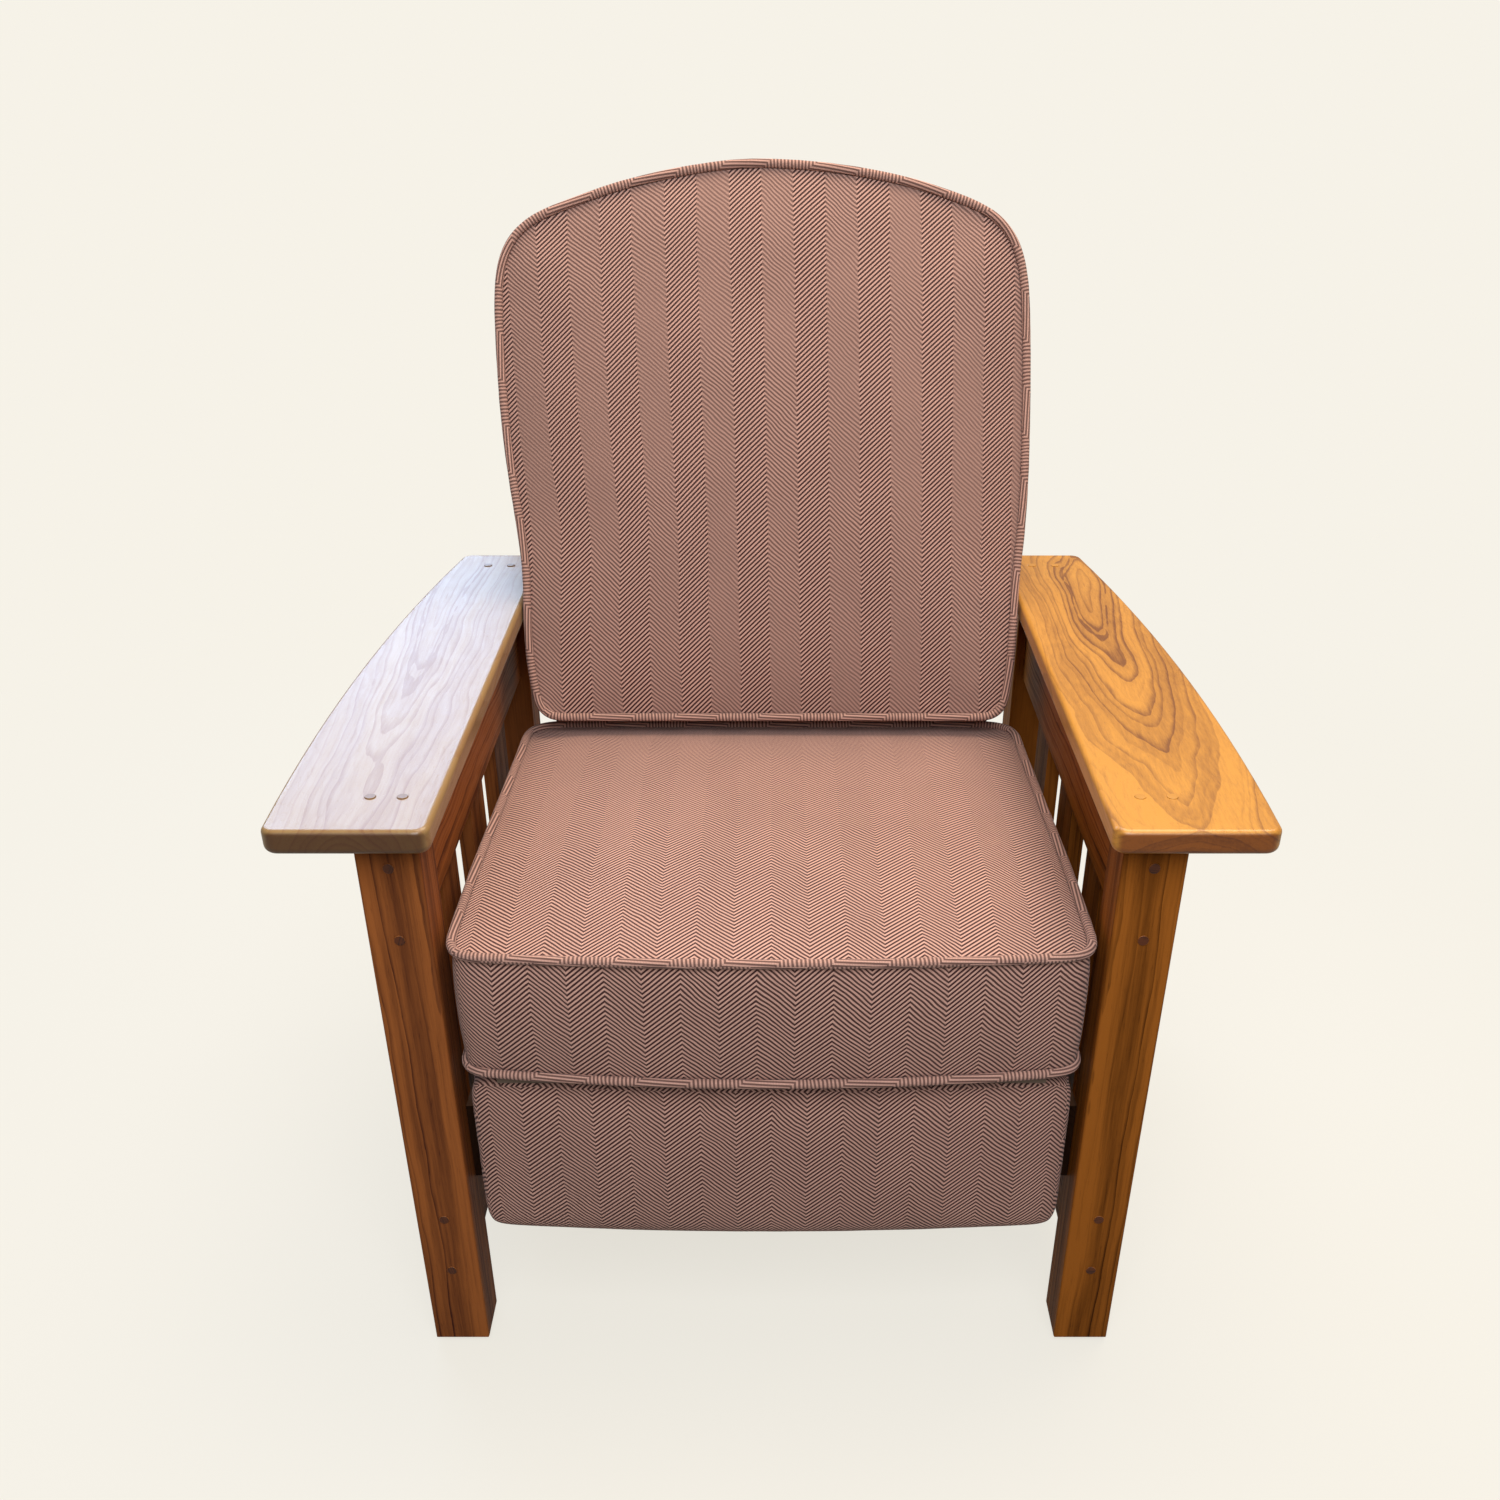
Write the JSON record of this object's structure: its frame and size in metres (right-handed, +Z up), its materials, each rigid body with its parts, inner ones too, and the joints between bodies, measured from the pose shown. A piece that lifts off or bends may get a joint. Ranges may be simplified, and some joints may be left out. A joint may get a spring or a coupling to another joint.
{
  "type": "reclining armchair",
  "caption": "Mission style reclining armchair with slatted wooden sides, broad bowed arms, box seat and arched back cushions and a fold-out footrest.",
  "frame": {"origin": "centre of the footprint box, on the floor", "axes": "+X across to the picture's right, -Y the front, +Z up"},
  "size_m": [0.8612, 0.8484, 1.0674],
  "materials": {
    "oak": "satin lacquered, walnut stain",
    "plug_wood": "end grain, satin",
    "frame_wood": "dark stained, matte",
    "plywood": "dark stained",
    "herringbone": "woven herringbone twill",
    "webbing": "woven elastic",
    "black_steel": "satin black",
    "zinc_steel": "zinc plated",
    "nylon": "moulded"
  },
  "bodies": {
    "base": {"arm_right": "oak", "arm_left": "oak", "front_post_right": "oak", "front_post_left": "oak", "rear_post_right": "oak", "rear_post_left": "oak", "top_rail_right": "oak", "top_rail_left": "oak", "bottom_rail_right": "oak", "bottom_rail_left": "oak", "slat_1_right": "oak", "slat_1_left": "oak", "slat_2_right": "oak", "slat_2_left": "oak", "slat_3_right": "oak", "slat_3_left": "oak", "plugs": "plug_wood", "screws": "zinc_steel", "floor_glides": "nylon", "mechanism_cleat_right": "frame_wood", "mechanism_cleat_left": "frame_wood", "slide_channel_right": "black_steel", "slide_channel_left": "black_steel", "stretcher": "frame_wood", "rear_apron": "frame_wood", "frame_tube": "black_steel"},
    "seat": {"carriage_plate_right": "black_steel", "carriage_plate_left": "black_steel", "carriage_tube": "black_steel", "carriage_pins": "zinc_steel", "slide_shoes": "nylon", "seat_side_rail_right": "frame_wood", "seat_side_rail_left": "frame_wood", "seat_front_rail": "frame_wood", "seat_rear_rail": "frame_wood", "seat_straps": "webbing", "seat_deck": "plywood", "seat_cushion": "herringbone"},
    "back": {"back_stile_right": "oak", "back_stile_left": "oak", "back_crest": "oak", "back_bottom_rail": "oak", "back_slats": "oak", "hinge_bracket_right": "black_steel", "hinge_bracket_left": "black_steel", "hinge_pins": "zinc_steel", "back_cushion": "herringbone"},
    "front_link": {"front_links": "black_steel", "front_link_pins": "zinc_steel"},
    "rear_link": {"rear_links": "black_steel"},
    "lower_link": {"lower_links": "black_steel", "lower_link_pins": "zinc_steel"},
    "upper_link": {"upper_links": "black_steel"},
    "footrest": {"footrest_pad": "herringbone", "footrest_board": "plywood", "footrest_brackets": "black_steel", "footrest_pins": "zinc_steel"}
  },
  "joints": [
    {"name": "seat_glide", "type": "slide", "parent": "base", "child": "seat", "axis": [0, -1, 0], "range_m": [0, 0.04501]},
    {"name": "back_recline", "type": "hinge", "parent": "seat", "child": "back", "pos_m": [0, 0.17455, 0.34272], "axis": [-1, 0, 0], "range_deg": [0, 32]},
    {"name": "front_link_swing", "type": "hinge", "parent": "seat", "child": "front_link", "pos_m": [0, -0.19622, 0.278], "axis": [-1, 0, 0], "range_deg": [0, 180]},
    {"name": "rear_link_swing", "type": "hinge", "parent": "seat", "child": "rear_link", "pos_m": [0, -0.20781, 0.2345], "axis": [-1, 0, 0], "range_deg": [0, 180]},
    {"name": "lower_link_fold", "type": "hinge", "parent": "front_link", "child": "lower_link", "pos_m": [0, -0.03684, 0.2353], "axis": [1, 0, 0], "range_deg": [0, 180]},
    {"name": "upper_link_fold", "type": "hinge", "parent": "front_link", "child": "upper_link", "pos_m": [0, -0.0317, 0.22357], "axis": [1, 0, 0], "range_deg": [0, 174.97]},
    {"name": "footrest_turn", "type": "hinge", "parent": "lower_link", "child": "footrest", "pos_m": [0, -0.29983, 0.2583], "axis": [-1, 0, 0], "range_deg": [0, 90]}
  ],
  "couplings": [
    {"joint": "seat_glide", "follows": "back_recline", "m_per_rad": 0.080572},
    {"joint": "rear_link_swing", "follows": "front_link_swing", "ratio": 1},
    {"joint": "lower_link_fold", "follows": "front_link_swing", "ratio": 1},
    {"joint": "upper_link_fold", "follows": "front_link_swing", "ratio": 0.97201},
    {"joint": "footrest_turn", "follows": "front_link_swing", "ratio": 0.5}
  ]
}
